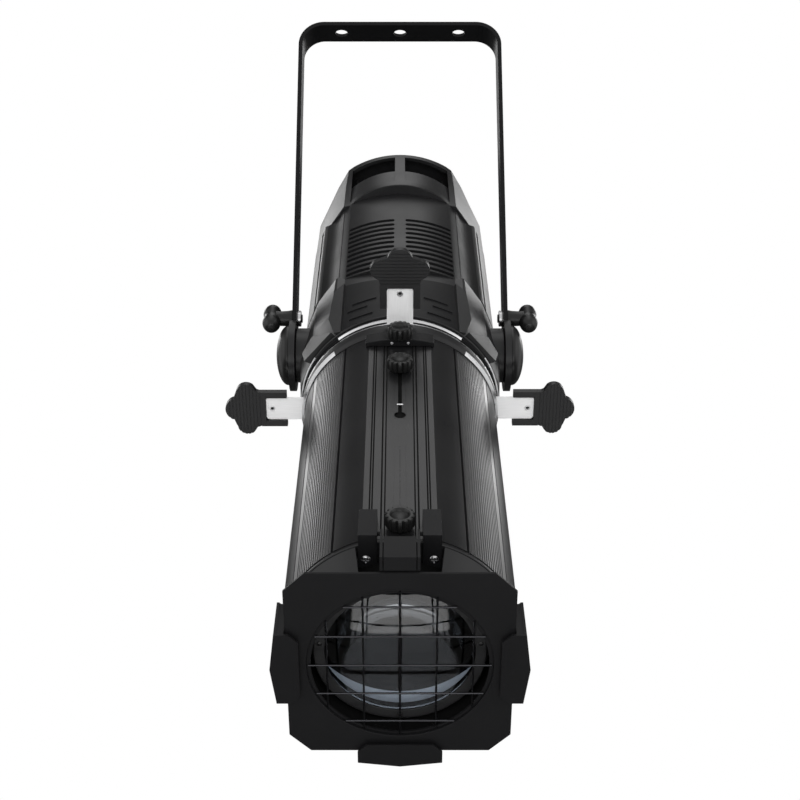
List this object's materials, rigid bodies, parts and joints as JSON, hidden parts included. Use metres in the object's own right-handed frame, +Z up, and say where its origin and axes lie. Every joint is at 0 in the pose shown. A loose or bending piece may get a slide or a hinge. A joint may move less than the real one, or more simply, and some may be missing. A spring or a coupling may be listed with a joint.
{
  "type": "ellipsoidal spotlight",
  "caption": "Zoom profile spotlight with focus and zoom lens tube, shutters, wire guard and finned lamp housing, hanging in a steel yoke.",
  "frame": {"origin": "middle of the top face of the yoke, on the axis of the centre hanging hole", "axes": "+Z up through the hanging bolt, -Y the way the beam points in plan, X across the yoke along the tilt axis; the beam is aimed 47 degrees below the horizontal at rest"},
  "size_m": [0.317, 0.6651, 0.7584],
  "materials": {
    "cast_black": "satin black powder coat on cast aluminium",
    "tube_black": "satin black powder coat on extruded aluminium",
    "steel_black": "satin black powder coat on sheet steel",
    "stainless": "brushed stainless steel",
    "plastic_black": "moulded black heat resistant plastic",
    "rubber_black": "moulded rubber",
    "lens_glass": "polished optical glass",
    "window": "dark clear plastic window",
    "circuit_board": "green circuit board",
    "bare_aluminium": "bare finned aluminium",
    "led": "LED array with yellow phosphor"
  },
  "bodies": {
    "yoke": {"yoke_bracket": "steel_black", "tilt_disc_left": "cast_black", "tilt_disc_right": "cast_black", "pivot_bolt_left": "plastic_black", "pivot_bolt_right": "plastic_black", "clamp_washer_left": "stainless", "clamp_washer_right": "stainless"},
    "tilt_knob_left": {"tilt_knob_left": "plastic_black"},
    "tilt_knob_right": {"tilt_knob_right": "plastic_black"},
    "housing": {"front_housing": "cast_black", "top_cover": "cast_black", "front_bezel_ring": "stainless", "lamp_housing": "cast_black", "rear_cage": "cast_black", "rear_panel": "cast_black", "power_inlet": "plastic_black", "power_outlet": "plastic_black", "data_inlet": "plastic_black", "data_outlet": "plastic_black", "display_window": "window", "heat_sink": "bare_aluminium", "led_module": "led", "condenser_lens": "lens_glass", "condenser_holder": "cast_black", "driver_board": "circuit_board", "fan_frame": "plastic_black"},
    "fan_rotor": {"fan_rotor": "plastic_black"},
    "menu_button": {"menu_button": "rubber_black"},
    "up_button": {"up_button": "rubber_black"},
    "down_button": {"down_button": "rubber_black"},
    "enter_button": {"enter_button": "rubber_black"},
    "barrel": {"gate_rear_plate": "steel_black", "gate_front_plate": "stainless", "gate_collar": "cast_black", "lens_tube": "tube_black", "front_end_cap": "cast_black", "lock_bracket": "steel_black", "frame_lip_left": "steel_black", "frame_lip_right": "steel_black", "frame_lip_bottom": "steel_black", "color_frame": "steel_black", "wire_guard": "steel_black", "clip_block_left": "steel_black", "clip_block_right": "steel_black"},
    "shutter_top": {"shutter_blade_top": "stainless", "shutter_handle_top": "plastic_black"},
    "shutter_left": {"shutter_blade_left": "stainless", "shutter_handle_left": "plastic_black"},
    "shutter_right": {"shutter_blade_right": "stainless", "shutter_handle_right": "plastic_black"},
    "shutter_bottom": {"shutter_blade_bottom": "stainless", "shutter_handle_bottom": "plastic_black"},
    "front_carriage": {"front_lens_carriage": "cast_black", "front_lens": "lens_glass"},
    "rear_carriage": {"rear_lens_carriage": "cast_black", "rear_lens": "lens_glass"},
    "focus_knob": {"focus_knob": "plastic_black"},
    "zoom_knob": {"zoom_knob": "plastic_black"},
    "barrel_lock_knob": {"barrel_lock_knob": "plastic_black"},
    "frame_clip": {"frame_clip": "steel_black"}
  },
  "joints": [
    {"name": "housing_tilt", "type": "hinge", "parent": "yoke", "child": "housing", "pos_m": [0, 0, -0.359], "axis": [1, 0, 0], "range_deg": [-65, 85]},
    {"name": "tilt_clamp_left", "type": "hinge", "parent": "yoke", "child": "tilt_knob_left", "pos_m": [-0.1251, 0, -0.321], "axis": [-1, 0, 0], "range_deg": [0, 270]},
    {"name": "tilt_clamp_right", "type": "hinge", "parent": "yoke", "child": "tilt_knob_right", "pos_m": [0.1251, 0, -0.321], "axis": [1, 0, 0], "range_deg": [0, 270]},
    {"name": "barrel_rotation", "type": "hinge", "parent": "housing", "child": "barrel", "pos_m": [0, 0, -0.359], "axis": [0, 0.6803, 0.7329], "range_deg": [-25, 25]},
    {"name": "fan_spin", "type": "hinge", "parent": "housing", "child": "fan_rotor", "pos_m": [0, 0.10885, -0.24174], "axis": [0, 0.6803, 0.7329], "continuous": true},
    {"name": "menu_press", "type": "slide", "parent": "housing", "child": "menu_button", "axis": [0, -0.6803, -0.7329], "range_m": [0, 0.0015], "stiffness_N_per_m": 400, "springref_m": -0.001},
    {"name": "up_press", "type": "slide", "parent": "housing", "child": "up_button", "axis": [0, -0.6803, -0.7329], "range_m": [0, 0.0015], "stiffness_N_per_m": 400, "springref_m": -0.001},
    {"name": "down_press", "type": "slide", "parent": "housing", "child": "down_button", "axis": [0, -0.6803, -0.7329], "range_m": [0, 0.0015], "stiffness_N_per_m": 400, "springref_m": -0.001},
    {"name": "enter_press", "type": "slide", "parent": "housing", "child": "enter_button", "axis": [0, -0.6803, -0.7329], "range_m": [0, 0.0015], "stiffness_N_per_m": 400, "springref_m": -0.001},
    {"name": "shutter_top_slide", "type": "slide", "parent": "barrel", "child": "shutter_top", "axis": [0, -0.7329, 0.6803], "range_m": [-0.012, 0.05]},
    {"name": "shutter_left_slide", "type": "slide", "parent": "barrel", "child": "shutter_left", "axis": [-1, 0, 0], "range_m": [-0.012, 0.05]},
    {"name": "shutter_right_slide", "type": "slide", "parent": "barrel", "child": "shutter_right", "axis": [1, 0, 0], "range_m": [-0.012, 0.05]},
    {"name": "shutter_bottom_slide", "type": "slide", "parent": "barrel", "child": "shutter_bottom", "axis": [0, 0.7329, -0.6803], "range_m": [-0.012, 0.05]},
    {"name": "front_lens_slide", "type": "slide", "parent": "barrel", "child": "front_carriage", "axis": [0, 0.6803, 0.7329], "range_m": [0, 0.1]},
    {"name": "rear_lens_slide", "type": "slide", "parent": "barrel", "child": "rear_carriage", "axis": [0, -0.6803, -0.7329], "range_m": [0, 0.062]},
    {"name": "focus_knob_turn", "type": "hinge", "parent": "front_carriage", "child": "focus_knob", "pos_m": [0, -0.33771, -0.59948], "axis": [0, -0.7329, 0.6803], "range_deg": [0, 270]},
    {"name": "zoom_knob_turn", "type": "hinge", "parent": "rear_carriage", "child": "zoom_knob", "pos_m": [0, -0.18259, -0.43238], "axis": [0, -0.7329, 0.6803], "range_deg": [0, 270]},
    {"name": "barrel_lock_turn", "type": "hinge", "parent": "barrel", "child": "barrel_lock_knob", "pos_m": [0, -0.15457, -0.39426], "axis": [0, -0.7329, 0.6803], "range_deg": [0, 270]},
    {"name": "frame_clip_hinge", "type": "hinge", "parent": "barrel", "child": "frame_clip", "pos_m": [0, -0.34906, -0.60804], "axis": [-1, 0, 0], "range_deg": [0, 75]}
  ]
}
